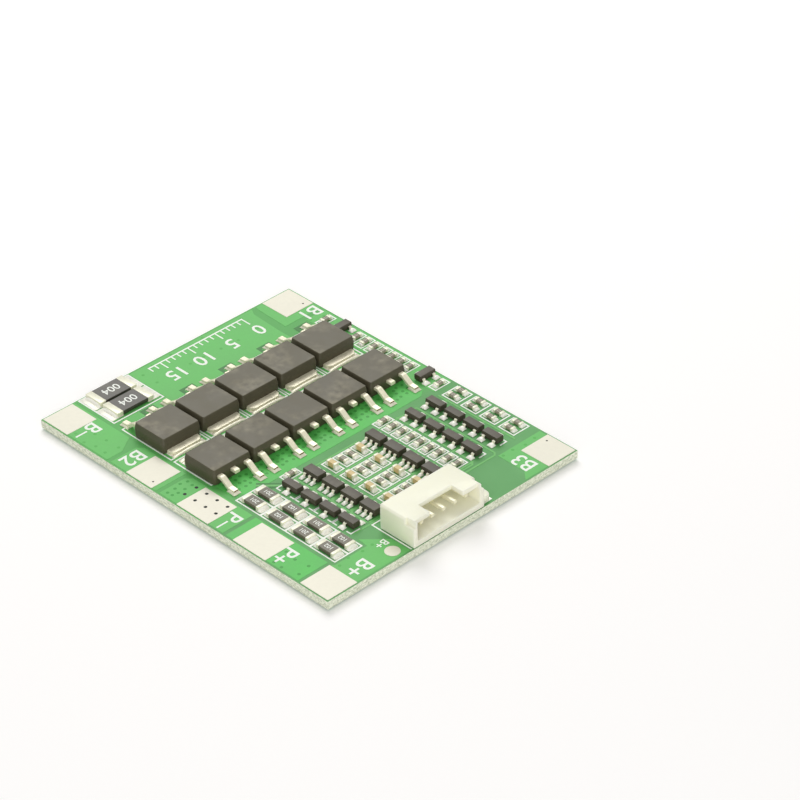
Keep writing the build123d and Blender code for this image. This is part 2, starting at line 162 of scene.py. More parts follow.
def track(run: Sequence[Point], width: float, low: float, high: float) -> Shape:
    """Flat strip along a run of points, mitred at its corners.

    Each point moves both ways along the mean of its two edges' normals, by half the width over
    the cosine of half the turn.
    """
    path = np.array(run, float)
    step = np.diff(path, axis=0)
    step /= np.linalg.norm(step, axis=1, keepdims=True)
    normal = np.column_stack([-step[:, 1], step[:, 0]])
    mitre = (np.vstack([normal[:1], normal]) + np.vstack([normal, normal[-1:]])) / 2
    side = mitre / (mitre ** 2).sum(1, keepdims=True) * width / 2
    return plate(np.vstack([path - side, (path + side)[::-1]]), low, high)


def rim(x: float, y: float, length: float, width: float, line: float, low: float,
        high: float) -> Shape:
    """Rectangular frame with a flat top about a centre, from its outer size and its line."""
    outer = np.array([(-1, -1), (1, -1), (1, 1), (-1, 1)]) * [length / 2, width / 2] + [x, y]
    inner = outer + np.array([(1, 1), (-1, 1), (-1, -1), (1, -1)]) * line
    rings = [(outer, low), (outer, high), (inner, high), (inner, low)]
    points = np.concatenate([np.column_stack([p, np.full(4, z)]) for p, z in rings])
    return Shape(points, [ring_faces(4, 4, closed=True)])


def disc(radius: float, low: float, high: float, sides: int = 14) -> Shape:
    """Round plate about the origin."""
    angles = np.linspace(0, 2 * np.pi, sides, endpoint=False)
    plan = radius * np.column_stack([np.cos(angles), np.sin(angles)])
    return lofted([plan, plan], [low, high])


def mound(length: float, width: float, height: float, power: float, cells: int,
          lean: float = 0.0) -> Shape:
    """Solder mound: its height times the root of one minus each side's share to a power.

    Args:
        length: extent along X.
        width: extent along Y.
        height: height of its top.
        power: how flat the top is, and how steep the sides.
        cells: divisions each way.
        lean: how much higher the +X side is than the -X side.

    Returns:
        A closed mound on level zero.
    """
    line = np.sin(np.linspace(-1, 1, cells + 1) * np.pi / 2)
    u, v = np.meshgrid(line, line, indexing="ij")
    rise = np.clip(1 - np.abs(u) ** power, 0, 1) * np.clip(1 - np.abs(v) ** power, 0, 1)
    z = height * np.sqrt(rise) * (1 + lean * u)
    points = np.column_stack([u.ravel() * length / 2, v.ravel() * width / 2, z.ravel()])
    n = cells + 1
    corner = (np.arange(cells)[:, None] * n + np.arange(cells)[None, :]).ravel()
    quads = np.column_stack([corner, corner + n, corner + n + 1, corner + 1])
    edge = np.concatenate([np.arange(n), np.arange(1, n) * n + n - 1,
                           (n - 1) * n + np.arange(n - 2, -1, -1), np.arange(n - 2, 0, -1) * n])
    return Shape(points, [quads, edge[None, :]])


def bent_path(corners: Sequence[Point], radius: float, steps: int) -> np.ndarray:
    """Path of points through corners, each rounded by an arc that touches both of its runs."""
    path = [np.array(corners[0], float)]
    for before, here, after in zip(corners[:-2], corners[1:-1], corners[2:]):
        here = np.array(here, float)
        back = (np.array(before) - here) / np.linalg.norm(np.array(before) - here)
        ahead = (np.array(after) - here) / np.linalg.norm(np.array(after) - here)
        half = np.arccos(np.clip(back @ ahead, -1, 1)) / 2
        reach = radius / np.tan(half)
        centre = here + (back + ahead) / np.linalg.norm(back + ahead) * radius / np.sin(half)
        first, last = here + back * reach - centre, here + ahead * reach - centre
        share = np.linspace(0, 1, steps + 1)[:, None]
        arc = first * (1 - share) + last * share
        path.extend(centre + arc / np.linalg.norm(arc, axis=1, keepdims=True) * radius)
    path.append(np.array(corners[-1], float))
    return np.array(path)


def strip_along(path: np.ndarray, width: float, thickness: float, edge: float) -> Shape:
    """Flat metal strip carried along a path in the X-Z plane, its width across Y.

    Each section is the rectangle of width and thickness with its four edges cut by the edge
    size, set square to the path: along the path's normal by the thickness, and Y by the width.
    """
    run = np.gradient(path, axis=0)
    run /= np.linalg.norm(run, axis=1, keepdims=True)
    normal = np.column_stack([-run[:, 1], run[:, 0]])
    w, t = width / 2, thickness / 2
    section = np.array([(w - edge, -t), (w, -t + edge), (w, t - edge), (w - edge, t),
                        (edge - w, t), (-w, t - edge), (-w, edge - t), (edge - w, -t)])
    x = path[:, 0, None] + normal[:, 0, None] * section[:, 1]
    z = path[:, 1, None] + normal[:, 1, None] * section[:, 1]
    y = np.broadcast_to(section[:, 0], x.shape)
    points = np.stack([x, y, z], 2).reshape(-1, 3)
    count, around = x.shape
    caps = np.array([np.arange(around), (count - 1) * around + np.arange(around)[::-1]])
    return Shape(points, [ring_faces(count, around)[:, ::-1], caps])


def mesh_values(items: bpy_prop_collection, field: str, width: int = 1) -> np.ndarray:
    """One field of a mesh's parts: whole numbers, or rows of coordinates for a width over one."""
    values = np.zeros(len(items) * width, float if width > 1 else int)
    items.foreach_get(field, values)
    return values.reshape(-1, width) if width > 1 else values


def add_object(name: str, data: ID) -> Object:
    """New object in the scene."""
    made = bpy.data.objects.new(name, data)
    bpy.context.scene.collection.objects.link(made)
    return made


def lettering(text: str, height: float, x: float, y: float, turn: float, low: float, high: float,
              bold: float) -> Shape:
    """Printed characters as a thin closed plate.

    Args:
        text: what is printed.
        height: height of a capital letter or a number.
        x: place of the text's middle.
        y: the same, in Y.
        turn: angle of the reading direction in degrees, from +X.
        low: level of its underside.
        high: level of its top.
        bold: how far the strokes are thickened, as a share of the height.

    Returns:
        The text as one shape.
    """
    curve = bpy.data.curves.new("lettering", "FONT")
    curve.body = text
    curve.size = height / CAP_SHARE
    curve.offset = bold * height
    curve.extrude = (high - low) / 2
    curve.resolution_u = 3
    curve.align_x = "CENTER"
    holder = add_object("lettering", curve)
    graph = bpy.context.evaluated_depsgraph_get()
    mesh = bpy.data.meshes.new_from_object(holder.evaluated_get(graph))
    points = mesh_values(mesh.vertices, "co", 3)
    corners = mesh_values(mesh.loops, "vertex_index")
    starts, totals = (mesh_values(mesh.polygons, field) for field in ("loop_start", "loop_total"))
    faces = [corners[starts[totals == n][:, None] + np.arange(n)] for n in np.unique(totals)]
    bpy.data.objects.remove(holder)
    bpy.data.curves.remove(curve)
    bpy.data.meshes.remove(mesh)
    points[:, 1] -= height / 2
    return Shape(points, faces).moved(x, y, (low + high) / 2, math.radians(turn))


def box_of(node: str) -> tuple[np.ndarray, np.ndarray]:
    """Lowest and highest corner of a solid of the model, in millimetres."""
    low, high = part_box(node)
    return np.array(low) * METRE, np.array(high) * METRE


def middles(nodes: Sequence[str]) -> np.ndarray:
    """Middle of each solid's box, in millimetres."""
    return np.array([sum(box_of(node)) / 2 for node in nodes])


def numbered(pattern: str, count: int) -> tuple[str, ...]:
    """Names made from a pattern and the numbers from one up."""
    return tuple(pattern.format(number) for number in range(1, count + 1))


def solids_of(node: str) -> np.ndarray:
    """Centres and sizes of the separate solids in one node, in millimetres.

    Corners at one place are merged, then every face passes the lowest number of its corners to
    all of them until nothing changes, so each solid ends with one number.
    """
    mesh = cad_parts[node].data
    points = mesh_values(mesh.vertices, "co", 3) * METRE
    corners = mesh_values(mesh.loops, "vertex_index")
    _, merged = np.unique(np.round(points, 4), axis=0, return_inverse=True)
    merged = merged.ravel()
    faces = merged[corners].reshape(-1, 3)
    label = np.arange(merged.max() + 1)
    while True:
        lowest = label[faces].min(1)
        fresh = label.copy()
        np.minimum.at(fresh, faces.ravel(), np.repeat(lowest, 3))
        if np.array_equal(fresh, label):
            break
        label = fresh
    owner = label[merged]
    found = [points[owner == number] for number in np.unique(owner)]
    low = np.array([p.min(0) for p in found])
    high = np.array([p.max(0) for p in found])
    order = np.lexsort((low[:, 0].round(2), -low[:, 1].round(2)))
    return np.hstack([(low + high) / 2, high - low])[order]


BALANCE_RESISTORS = numbered("balance_resistor_{}", 8)
MONITOR_CHIPS = numbered("monitor_chip_{}", 8)
POWER_BODIES = numbered("power_transistor_body_{:02d}", 10)
POWER_LEADS = numbered("power_transistor_leads_{:02d}", 10)
# Y of the power rows and X of the logic columns.
POWER_ROWS = middles(POWER_BODIES[:5])[:, 1].tolist()
LOGIC_COLUMNS = middles(MONITOR_CHIPS[:4])[:, 0].tolist()


def srgb(red: float, green: float, blue: float) -> tuple[float, float, float, float]:
    """Colour as seen on a screen, 0 to 255, as the linear colour that a shader takes."""
    share = np.array([red, green, blue]) / 255
    linear = np.where(share <= 0.04045, share / 12.92, ((share + 0.055) / 1.055) ** 2.4)
    return (*linear.tolist(), 1.0)


def feed(tree: NodeTree, node: Node, values: dict[str | int, object]) -> None:
    """Feed a node's inputs by name or number: a socket is linked, anything else is set."""
    for key, value in values.items():
        if isinstance(value, NodeSocket):
            tree.links.new(value, node.inputs[key])
        else:
            node.inputs[key].default_value = value


def add_node(tree: NodeTree, kind: str, values: dict[str | int, object] | None = None,
             **settings: object) -> Node:
    """New node of a kind, with its settings made before its inputs are fed."""
    node = tree.nodes.new(kind)
    for setting, value in settings.items():
        setattr(node, setting, value)
    feed(tree, node, values or {})
    return node


def math_node(tree: NodeTree, operation: str, *values: object, clamp: bool = False) -> NodeSocket:
    """Math node whose inputs are sockets or plain numbers."""
    inputs = dict(enumerate(values))
    return add_node(tree, "ShaderNodeMath", inputs, operation=operation, use_clamp=clamp).outputs[0]


def scaled(tree: NodeTree, value: NodeSocket, start: float, slope: object,
           clamp: bool = False) -> NodeSocket:
    """A value's distance past a start, times a slope."""
    past = math_node(tree, "SUBTRACT", value, start)
    return math_node(tree, "MULTIPLY", past, slope, clamp=clamp)


def axis_of(tree: NodeTree, vector: NodeSocket, axis: str) -> NodeSocket:
    """X, Y or Z of a vector."""
    return add_node(tree, "ShaderNodeSeparateXYZ", {0: vector}).outputs[axis]


def noise(tree: NodeTree, vector: NodeSocket, scale: object, detail: float) -> NodeSocket:
    """Noise from zero to one at a vector, its scale a socket or a number."""
    inputs = {"Detail": detail, "Vector": vector, "Scale": scale}
    return add_node(tree, "ShaderNodeTexNoise", inputs).outputs["Fac"]


def mixed(tree: NodeTree, share: object, first: object, second: object,
          blend: str = "MIX") -> NodeSocket:
    """Blend of two colours."""
    inputs = {"Factor": share, "A": first, "B": second}
    node = add_node(tree, "ShaderNodeMix", inputs, data_type="RGBA", blend_type=blend)
    return node.outputs["Result"]


def ramp(tree: NodeTree, value: NodeSocket, *stops: tuple[float, tuple]) -> NodeSocket:
    """Colour between two stops, each a position and a colour."""
    node = add_node(tree, "ShaderNodeValToRGB", {0: value})
    for element, (position, colour) in zip(node.color_ramp.elements, stops):
        element.position, element.color = position, colour
    return node.outputs["Color"]


def add_bump(tree: NodeTree, shader: Node, height: NodeSocket, strength: float,
             distance: float) -> None:
    """Feed a height through a Bump node into the shader's normal."""
    bump = add_node(tree, "ShaderNodeBump",
                    {"Strength": strength, "Distance": distance, "Height": height})
    feed(tree, shader, {"Normal": bump.outputs["Normal"]})


def fresh_material(name: str) -> tuple[Material, NodeTree, Node]:
    """Node material with a Principled shader joined to its output."""
    material = bpy.data.materials.new(name)
    material.use_nodes = True
    tree = material.node_tree
    shader = next(n for n in tree.nodes if n.type == "BSDF_PRINCIPLED")
    return material, tree, shader


NUMBER, COLOUR = "NodeSocketFloat", "NodeSocketColor"


def new_group(name: str, inputs: dict[str, str], outputs: dict[str, str]
              ) -> tuple[NodeTree, NodeOutputs, Node]:
    """Shader node group with named sockets.

    Args:
        name: name of the group.
        inputs: socket type of each input.
        outputs: the same for each output.

    Returns:
        The group's tree, the sockets of what it is given, and the node that takes its results.
    """
    tree = bpy.data.node_groups.new(name, "ShaderNodeTree")
    for way, sockets in (("INPUT", inputs), ("OUTPUT", outputs)):
        for title, kind in sockets.items():
            tree.interface.new_socket(title, in_out=way, socket_type=kind)
    return tree, tree.nodes.new("NodeGroupInput").outputs, tree.nodes.new("NodeGroupOutput")


@cache
def grain_group() -> NodeTree:
    """Group that breaks a plain colour into soft patches and fine grain, with a bump height."""
    tree, given, result = new_group(
        "surface_grain",
        {"Colour": COLOUR, "Roughness": NUMBER, "Patch Scale": NUMBER, "Patch Depth": NUMBER,
         "Grain Scale": NUMBER, "Grain Depth": NUMBER},
        {"Colour": COLOUR, "Roughness": NUMBER, "Height": NUMBER})
    place = add_node(tree, "ShaderNodeTexCoord").outputs["Object"]
    patch = noise(tree, place, given["Patch Scale"], 3.0)
    grain = noise(tree, place, given["Grain Scale"], 2.0)
    both = math_node(tree, "ADD", scaled(tree, patch, 0.5, given["Patch Depth"]),
                     scaled(tree, grain, 0.5, given["Grain Depth"]))
    level = math_node(tree, "MULTIPLY_ADD", both, 2.0, 1.0)
    grey = add_node(tree, "ShaderNodeCombineColor", {0: level, 1: level, 2: level})
    feed(tree, result, {
        "Colour": mixed(tree, 1.0, given["Colour"], grey.outputs["Color"], "MULTIPLY"),
        "Roughness": math_node(tree, "ADD", given["Roughness"], both),
        "Height": math_node(tree, "MULTIPLY_ADD", grain, 0.5, patch)})
    return tree


@cache
def smear_group() -> NodeTree:
    """Group that lays pale smears and a painted sheen on the tops of a dark moulding, and none on
    its sides.

    A fifth of the haze is even, a painted sheen that lightens every top over its sides, and the
    rest lies as smears where a broad and a fine noise are both high.
    """
    tree, given, result = new_group(
        "pale_smears_and_painted_sheen", {"Colour": COLOUR, "Smear": COLOUR, "Amount": NUMBER}, {"Colour": COLOUR})
    coordinates = add_node(tree, "ShaderNodeTexCoord")
    place = coordinates.outputs["Object"]
    on_top = math_node(tree, "GREATER_THAN", axis_of(tree, coordinates.outputs["Normal"], "Z"), 0.8)
    patch = scaled(tree, noise(tree, place, 230.0, 3.0), 0.44, 5.0, clamp=True)
    streak = scaled(tree, noise(tree, place, 800.0, 4.0), 0.36, 3.0, clamp=True)
    # The even fifth is painted sheen on every top; the rest is smears.
    haze = math_node(tree, "MULTIPLY_ADD", math_node(tree, "MULTIPLY", patch, streak), 0.8, 0.2)
    share = math_node(tree, "MULTIPLY", math_node(tree, "MULTIPLY", haze, on_top), given["Amount"])
    feed(tree, result, {"Colour": mixed(tree, share, given["Colour"], given["Smear"])})
    return tree


class Slot(Enum):
    """Material slots."""

    LAMINATE = "green_laminate"
    SOLDER = "solder_finish"
    LEAD = "tinned_lead"
    EPOXY = "moulded_epoxy"
    DARK = "dark_ceramic"
    TAN = "tan_ceramic"
    NYLON = "cream_nylon"


# Pale colour laid on moulded tops: smears, and a painted sheen that lightens every top over its
# sides.
SMEAR_AND_SHEEN_COLOUR = srgb(148, 141, 118)
# How far light spreads under a surface, in metres.
SPREAD = 0.001


@dataclass(frozen=True)
class Finish:
    """One surface: its colour, how it shines, and the grain that breaks both up."""

    name: str
    colour: tuple[float, float, float]
    roughness: float = 0.5
    metallic: float = 0.0
    patch: float = 250.0
    patch_depth: float = 0.1
    grain: float = 3000.0
    grain_depth: float = 0.08
    bump: float = 0.2
    relief: float = 0.00002
    coat: float = 0.0
    subsurface: float = 0.0
    smear: float = 0.0

    def material(self) -> Material:
        """Material of this finish, made once."""
        return bpy.data.materials.get(self.name) or self.build()

    def build(self) -> Material:
        """Make the node tree: the grain group feeds the shader's colour, roughness and bump."""
        material, tree, shader = fresh_material(self.name)
        inputs = {"Colour": srgb(*self.colour), "Roughness": self.roughness,
                  "Patch Scale": self.patch, "Patch Depth": self.patch_depth,
                  "Grain Scale": self.grain, "Grain Depth": self.grain_depth}
        grain = add_node(tree, "ShaderNodeGroup", inputs, node_tree=grain_group()).outputs
        colour = grain["Colour"]
        # Moulded tops get pale smears and a painted sheen.
        if self.smear:
            inputs = {"Amount": self.smear, "Smear": SMEAR_AND_SHEEN_COLOUR, "Colour": colour}
            smear = add_node(tree, "ShaderNodeGroup", inputs, node_tree=smear_group())
            colour = smear.outputs["Colour"]
        feed(tree, shader, {
            "Base Color": colour, "Roughness": grain["Roughness"], "Metallic": self.metallic,
            "Coat Weight": self.coat, "Subsurface Weight": self.subsurface,
            "Subsurface Scale": SPREAD, "Subsurface Radius": (1.0, 1.0, 1.0)})
        add_bump(tree, shader, grain["Height"], self.bump, self.relief)
        return material


MASK_ON_COPPER = Finish("mask_on_copper", (101, 189, 95), 0.58, patch=140, patch_depth=0.12,
                        grain=2200, grain_depth=0.05, bump=0.25)
# Darker, more saturated copy of the mask on copper, laid round the power leads and the P+ pad:
# painted shade.
MASK_PAINTED_SHADE = Finish("mask_on_copper_painted_shade", (89, 191, 87), 0.56, patch=170, patch_depth=0.22,
                   grain=2200, grain_depth=0.06, bump=0.3)
MASK_IN_GAP = Finish("mask_in_gap", (58, 122, 56), 0.58, patch=220, patch_depth=0.12)
MASK_ON_TRACE = Finish("mask_on_trace", (108, 184, 98), 0.56, patch=300, patch_depth=0.10,
                       grain=2400)
PRINT = Finish("white_print", (250, 253, 244), 0.65, patch=500, patch_depth=0.03, grain=5000,
               grain_depth=0.05, relief=0.000004)
TINNED_PAD = Finish("tinned_pad", (223, 219, 201), 0.45, metallic=0.1, patch=160,
                    patch_depth=0.08, grain=1800, grain_depth=0.04)
SOLDER = Finish("bright_solder", (251, 249, 238), 0.38, metallic=0.1, patch=900,
                patch_depth=0.06, grain=4000, grain_depth=0.06, bump=0.3)
FIELD = Finish("solder_field", (232, 230, 216), 0.42, metallic=0.15, patch=650,
               patch_depth=0.22, grain=3000, grain_depth=0.14, bump=0.6, relief=0.00005)
FOOT_SOLDER = Finish("solder_at_feet", (226, 223, 200), 0.36, metallic=0.3, patch=900,
                     patch_depth=0.18, grain=3500, grain_depth=0.1, bump=0.5)
LEAD = Finish("tinned_lead_metal", (233, 227, 200), 0.36, metallic=0.25, patch=700,
              patch_depth=0.18, grain=3500, grain_depth=0.14, bump=0.5)
CAP_METAL = Finish("tinned_cap", (239, 237, 213), 0.38, metallic=0.14, patch=900,
                   patch_depth=0.16, grain=3500, grain_depth=0.12, bump=0.4)
PIN = Finish("pale_pin", (240, 236, 204), 0.36, metallic=0.15, patch=600, patch_depth=0.08)
COPPER_CUT = Finish("cut_copper", (132, 88, 62), 0.5, metallic=0.3, patch=1500, patch_depth=0.2)
EPOXY = Finish("moulded_epoxy_grey", (75, 70, 51), 0.54, patch=420, patch_depth=0.2,
               grain=5200, grain_depth=0.12, bump=0.5, smear=0.6)
CHIP_EPOXY = Finish("chip_epoxy_dark", (64, 58, 44), 0.52, patch=500, patch_depth=0.14,
                    grain=6000, grain_depth=0.12, bump=0.4, smear=0.3)
RESISTOR = Finish("resistor_glaze", (62, 59, 50), 0.42, patch=600, patch_depth=0.12, grain=5000,
                  coat=0.1, smear=0.2)
BALANCE_GLAZE = Finish("balance_resistor_glaze", (99, 94, 76), 0.45, patch=700, patch_depth=0.14,
                       grain=5000, grain_depth=0.10, smear=0.25)
SMALL_RESISTOR = Finish("small_resistor_glaze", (164, 158, 136), 0.45, patch=900,
                        patch_depth=0.18)
GLAZE_LINE = Finish("glaze_line", (82, 76, 62), 0.5, patch=1200, patch_depth=0.2)
CAPACITOR = Finish("capacitor_tan", (214, 190, 132), 0.45, patch=900, patch_depth=0.14, grain=5000)
NYLON = Finish("cream_nylon_gloss", (247, 245, 221), 0.42, patch=180, patch_depth=0.015,
               grain=1500, grain_depth=0.015, bump=0.08, subsurface=0.6)
# Near-black discs on the open holes: painted shade of the holes' insides.
VIA_HOLE_SHADE = Finish("via_hollow_painted_shade", (22, 30, 20), 0.7, patch_depth=0.05)
VIA_TENT = Finish("tented_via", (82, 176, 74), 0.58, patch_depth=0.08)
# Darker copy of the tented vias for the same areas: painted shade.
VIA_PAINTED_SHADE = Finish("tented_via_painted_shade", (62, 156, 60), 0.58, patch_depth=0.08)


def laminate_material() -> Material:
    """Board: green mask on its faces, pale woven glass fibre on its cut edges.

    The faces and edges are told apart by how far the surface's normal leans from upright. The
    fibre is noise drawn out along the edge, so that it lies in thin layers. The mask is greyer
    where the logic parts stand, from 3.5 mm past the middle on.
    """
    material, tree, shader = fresh_material("glass_fibre_laminate")
    coordinates = add_node(tree, "ShaderNodeTexCoord").outputs
    place = coordinates["Object"]
    upright = math_node(tree, "ABSOLUTE", axis_of(tree, coordinates["Normal"], "Z"))
    on_face = math_node(tree, "GREATER_THAN", upright, 0.5)
    layers = add_node(tree, "ShaderNodeMapping", {"Scale": (1.0, 1.0, 2.2), "Vector": place})
    weave = noise(tree, layers.outputs["Vector"], 2100.0, 3.0)
    fleck = noise(tree, place, 5200.0, 1.0)
    fibre = math_node(tree, "MULTIPLY_ADD", fleck, 0.35, math_node(tree, "MULTIPLY", weave, 0.65))
    edge = ramp(tree, fibre, (0.35, srgb(190, 198, 170)), (0.59, srgb(244, 248, 225)))
    broad = noise(tree, place, 90.0, 3.0)
    grey_mask = ramp(tree, broad, (0.3, srgb(80, 150, 78)), (0.7, srgb(98, 168, 96)))
    on_logic = scaled(tree, axis_of(tree, place, "X"), 0.0035, 800.0, clamp=True)
    mask = mixed(tree, on_logic, srgb(84, 168, 80), grey_mask)
    feed(tree, shader, {"Base Color": mixed(tree, on_face, edge, mask),
                        "Roughness": math_node(tree, "MULTIPLY_ADD", on_face, -0.2, 0.78)})
    add_bump(tree, shader, fibre, 0.3, 0.00003)
    return material


def paint(mesh: Mesh, material: Material) -> None:
    """Give a mesh one material, in place of any that it has."""
    mesh.materials.clear()
    mesh.materials.append(material)


def take_place(piece: Object, stands_for: Sequence[str]) -> None:
    """Let a piece ride on the board and stand for nodes of the model."""
    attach(piece, ROOT)
    if stands_for:
        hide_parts(*stands_for)


def make_piece(name: str, shape: Shape, finish: Finish,
               stands_for: Sequence[str] = (), smooth: float = 40.0) -> None:
    """Turn a shape into a piece of the object.

    Args:
        name: name of the piece.
        shape: what it is made of, in millimetres.
        finish: its surface.
        stands_for: nodes of the model that it replaces.
        smooth: edges flatter than this angle in degrees are shaded smooth.
    """
    mesh = bpy.data.meshes.new(name)
    faces = [corners for alike in shape.faces for corners in alike.tolist()]
    mesh.from_pydata(shape.points / METRE, [], faces, shade_flat=False)
    mesh.validate()
    mesh.set_sharp_from_angle(angle=math.radians(smooth))
    paint(mesh, finish.material())
    take_place(add_object(name, mesh), stands_for)
    LOG.info("%s: %d faces", name, len(faces))


@dataclass
class Levels:
    """Heights over the board's top at which the thin layers start and end, in millimetres."""

    top: float
    pour: float = 0.025
    gap: float = 0.030
    print_low: float = 0.002
    print_high: float = 0.045
    land: float = 0.08
    field: float = 0.09

    def up(self, *heights: float) -> list[float]:
        """Levels of heights over the board's top."""
        return [self.top + height for height in heights]


@dataclass
class Board:
    """Bare board with its copper under the mask, its holes and its white print."""

    levels: Levels
    half_length: float
    half_width: float
    margin: float = 0.3
    trace_width: float = 0.28
    line: float = 0.2
    letter: float = 2.35
    lone_holes: tuple[Point, ...] = ((-6.58, -21.2), (-23.65, 21.2), (23.65, 21.2))

    def __post_init__(self) -> None:
        """Work out where the copper, the gaps in it and the print start and end."""
        levels = self.levels
        self.copper = levels.up(0.0, levels.pour)
        self.gap = levels.up(levels.pour, levels.gap)
        self.ink = levels.up(levels.print_low, levels.print_high)

    def pours(self) -> tuple[list[list[Point]], list[list[Point]]]:
        """Plans of the copper areas, counter-clockwise: the pale ones, then the ones that take a
        darker green as painted shade.
        """
        x, y = self.half_length - self.margin, self.half_width - self.margin
        pads, near, far = -17.0, -16.1, 18.2
        left = [(-x, -7.3), (-20.1, -7.3), (-20.1, -14.6), (-18.6, near), (-16.0, near),
                (-16.0, 14.3), (-21.3, 14.3), (-26.6, 14.6), (-x, 15.2)]
        rear_left = [(-26.9, 15.8), (-21.2, 15.6), (-21.2, y), (-x, y), (-x, 16.0)]
        front_left = [(-x, -y), (-14.7, -y), (-14.7, -19.6), (-16.4, -16.9), (-x, -16.9)]
        middle = [(-14.0, -y), (-4.9, -y), (-4.9, pads), (-13.2, pads), (-14.0, -17.8)]
        negative = [(-4.2, -y), (8.1, -y), (8.1, pads), (-3.4, pads), (-4.2, -17.8)]
        positive = [(8.7, -y), (22.2, -y), (22.2, pads), (8.7, pads)]
        front_right = [(22.9, -y), (x, -y), (x, -8.0), (24.4, -8.0), (21.4, -11.0),
                       (23.2, -11.2), (23.2, -16.8), (22.9, pads)]
        leads = [(-0.6, near), (2.6, near), (4.4, -14.3), (4.4, 16.9), (3.4, far), (-0.6, far)]
        drain = [(-11.0, near), (-5.0, near), (-5.0, far), (-11.0, far)]
        rear = [(-20.4, 18.8), (4.9, 18.8), (4.9, y), (-20.4, y)]
        rear_right = [(21.4, 14.3), (26.2, 14.3), (x, 13.0), (x, y), (21.4, y)]
        pale = [left, rear_left, front_left, middle, negative, front_right, drain, rear, rear_right]
        # The P+ area and the lead area come second, for the darker mask that is painted shade.
        return pale, [positive, leads]

    def dress(self) -> None:
        """Give the board its laminate, and lay the copper areas on it."""
        paint(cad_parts["circuit_board"].data, laminate_material())
        # The second set of areas takes the darker copy of the mask, painted shade near the power
        # parts.
        names = ("copper_areas", "painted_shade_copper_areas")
        for name, plans, finish in zip(names, self.pours(), (MASK_ON_COPPER, MASK_PAINTED_SHADE)):
            areas = [plate(plan, *self.copper) for plan in plans]
            make_piece(name, joined(areas), finish)

    def traces(self) -> None:
        """Thin traces of the logic parts, one bordered lane, and the gaps round the gate pads.

        Neighbours differ a hair in height, so that no two tops lie in one plane where they cross.
        """
        runs: list[list[Point]] = []
        for x in LOGIC_COLUMNS:
            runs += [[(x - 1.75, 14.6), (x - 1.75, 7.4), (x - 1.1, 6.8)],
                     [(x + 1.75, 10.9), (x + 1.75, 4.0), (x + 1.3, 3.4)],
                     [(x - 1.75, 3.6), (x - 1.75, -7.4), (x - 1.0, -8.2)],
                     [(x + 1.6, -3.7), (x + 1.6, -7.6)], [(x, 18.9), (x, 18.0)]]
        runs += [[(5.9, 18.6), (20.3, 18.6)],
                 [(5.9, 14.5), (20.6, 14.5), (21.0, 14.1), (21.0, 6.6)],
                 [(5.6, 11.05), (19.9, 11.05), (20.4, 10.5), (20.4, 6.2)],
                 [(5.9, -7.8), (19.6, -7.8)], [(20.2, -4.0), (20.2, -10.2), (19.8, -10.8)]]
        low, high = self.copper
        hair, lane_rise = 0.0004, 0.015
        shapes = [track(run, self.trace_width, low, high + hair * i) for i, run in enumerate(runs)]
        lane = [(3.6, -12.4), (4.6, -11.4), (6.8, -9.2), (6.8, -8.6)]
        lane_width, lane_room = 0.4, 1.1
        shapes.append(track(lane, lane_width, low, high + lane_rise))
        make_piece("traces", joined(shapes), MASK_ON_TRACE)
        gaps = [rim(-18.3, y + 2.15, 3.4, 2.4, 0.55, *self.gap) for y in POWER_ROWS]
        gaps.append(track(lane, lane_room, low, self.gap[1]))
        make_piece("pour_gaps", joined(gaps), MASK_IN_GAP)

    def vias(self) -> None:
        """Mask-covered holes, a jittered grid in each area, and dark discs on the open holes in the
        pads, as painted shade of their insides.

        An area is its two ends in X, its two ends in Y, and the pitch of its holes.
        """
        pale = ((-22.3, -15.4, -21.6, -17.4, 2.2), (-26.8, -20.8, -6.4, 13.4, 3.1),
                (23.6, 24.4, -16.6, -9.0, 2.0), (-19.6, -14.2, 19.2, 21.9, 1.9),
                (21.9, 22.4, 15.0, 21.8, 1.9))
        # The lead areas take the darker tented vias, as painted shade.
        shaded_areas = ((-3.6, -1.3, -21.5, -17.8, 1.15), (-0.2, 2.9, -15.4, 17.6, 0.95),
                (17.0, 22.0, -21.5, -17.6, 2.0))
        draw = np.random.default_rng(7)
        jitter, tent_height, hole_shade_height = 0.18, 0.006, 0.012
        _, surface = self.copper

        def spread(hole: Shape, spots: np.ndarray) -> Shape:
            """A hole at every spot."""
            return hole.copies(spots, surface, np.zeros(len(spots)))

        for name, areas, finish in (("tented_vias", pale, VIA_TENT),
                                    ("lead_area_vias", shaded_areas, VIA_PAINTED_SHADE)):
            places = []
            for x0, x1, y0, y1, pitch in areas:
                x, y = np.meshgrid(np.arange(x0, x1, pitch), np.arange(y0, y1, pitch))
                spots = np.column_stack([x.ravel(), y.ravel()])
                places.append(spots + draw.uniform(-jitter, jitter, spots.shape) * pitch)
            tents = spread(disc(0.24, 0.0, tent_height), np.concatenate(places))
            make_piece(name, tents, finish)
        # Dark discs over the pad holes and the lone holes stand in for the shade inside them.
        pitch, (first_x, first_y) = 2.02, (-1.612, -20.085)
        x, y = np.meshgrid(first_x + pitch * np.arange(4), first_y + pitch * np.arange(2))
        wide = spread(disc(0.25, 0.0, hole_shade_height), np.column_stack([x.ravel(), y.ravel()]))
        narrow = spread(disc(0.15, 0.0, hole_shade_height), np.array(self.lone_holes))
        make_piece("pad_vias", joined([wide, narrow]), VIA_HOLE_SHADE)

